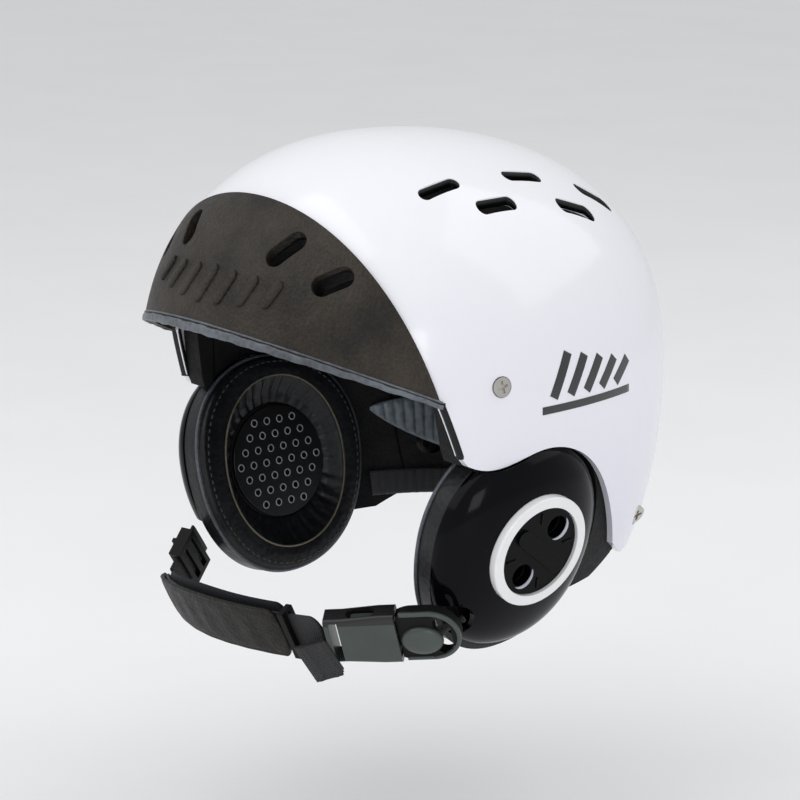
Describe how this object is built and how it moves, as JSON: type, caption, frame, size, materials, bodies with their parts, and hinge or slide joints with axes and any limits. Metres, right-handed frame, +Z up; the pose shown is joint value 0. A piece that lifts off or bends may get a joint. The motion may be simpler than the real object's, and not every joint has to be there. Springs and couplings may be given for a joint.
{
  "type": "water sports helmet",
  "caption": "Open-face water sports helmet: hard shell, soft peak, foam liner, ear pods with turning vent dials, and a chin strap with a side-release buckle.",
  "frame": {"origin": "midway between the wearer's ears, on the line that joins the two ear canals", "axes": "+Z up, -Y to the front, +X to the wearer's left"},
  "size_m": [0.2126, 0.2259, 0.212],
  "materials": {
    "shell_white": "gloss",
    "peak_rubber": "grained",
    "liner_foam": "matt foam",
    "comfort_fabric": "knit",
    "nape_fabric": "coated",
    "elastic": "ribbed",
    "screw_steel": "satin",
    "pod_black": "gloss",
    "black_plastic": "matt",
    "ring_white": "gloss",
    "pad_skin": "soft grain",
    "webbing": "woven",
    "dial_black": "gloss",
    "seal_rubber": "matt",
    "buckle_grey": "satin",
    "neoprene": "matt",
    "chin_leather": "grained"
  },
  "bodies": {
    "helmet": {"outer_shell": "shell_white", "peak": "peak_rubber", "liner_crown": "liner_foam", "liner_front": "liner_foam", "liner_left": "liner_foam", "liner_right": "liner_foam", "liner_rear": "liner_foam", "brow_pad": "comfort_fabric", "nape_pad": "nape_fabric", "nape_elastic": "elastic", "side_screws": "screw_steel", "rear_screws": "screw_steel", "tee_nuts": "screw_steel", "pod_casing_left": "pod_black", "pod_backplate_left": "black_plastic", "dial_ring_left": "ring_white", "ear_pad_left": "pad_skin", "ear_grille_left": "black_plastic", "anchor_web_left": "webbing", "pod_casing_right": "pod_black", "pod_backplate_right": "black_plastic", "dial_ring_right": "ring_white", "ear_pad_right": "pad_skin", "ear_grille_right": "black_plastic", "anchor_web_right": "webbing"},
    "dial_left": {"vent_dial_left": "dial_black", "dial_seal_left": "seal_rubber"},
    "dial_right": {"vent_dial_right": "dial_black", "dial_seal_right": "seal_rubber"},
    "near_strap": {"buckle_male": "buckle_grey", "loop_web": "webbing"},
    "prong_upper_arm": {"prong_upper": "black_plastic"},
    "prong_lower_arm": {"prong_lower": "black_plastic"},
    "chin_strap": {"buckle_female": "buckle_grey", "chin_web": "webbing", "chin_pad_upper": "neoprene", "chin_pad_lower": "chin_leather", "web_tail": "webbing", "web_keeper": "elastic", "link_web": "webbing"},
    "adjuster": {"ladder_lock": "black_plastic"}
  },
  "joints": [
    {"name": "dial_left_turn", "type": "hinge", "parent": "helmet", "child": "dial_left", "pos_m": [0.1005, -0.005, -0.008], "axis": [0.9744, 0, -0.225], "range_deg": [0, 75]},
    {"name": "dial_right_turn", "type": "hinge", "parent": "helmet", "child": "dial_right", "pos_m": [-0.1005, -0.005, -0.008], "axis": [0.9744, 0, 0.225], "range_deg": [0, 75]},
    {"name": "chin_strap_swing", "type": "hinge", "parent": "helmet", "child": "near_strap", "pos_m": [0.084, -0.038, -0.037], "axis": [1, 0, 0], "range_deg": [-20, 40]},
    {"name": "prong_upper_squeeze", "type": "hinge", "parent": "near_strap", "child": "prong_upper_arm", "pos_m": [0.07314, -0.0582, -0.0314], "axis": [0.5947, -0.6816, -0.4263], "range_deg": [0, 6], "stiffness_Nm_per_rad": 0.05},
    {"name": "prong_lower_squeeze", "type": "hinge", "parent": "near_strap", "child": "prong_lower_arm", "pos_m": [0.06996, -0.05159, -0.04641], "axis": [-0.5947, 0.6816, 0.4263], "range_deg": [0, 6], "stiffness_Nm_per_rad": 0.05},
    {"name": "buckle_release", "type": "slide", "parent": "near_strap", "child": "chin_strap", "axis": [-0.7811, -0.6154, -0.1057], "range_m": [0, 0.02], "deforming": ["link_web"]},
    {"name": "strap_adjust", "type": "slide", "parent": "chin_strap", "child": "adjuster", "axis": [0.2409, -0.7059, -0.6661], "range_m": [0, 0.003]}
  ]
}
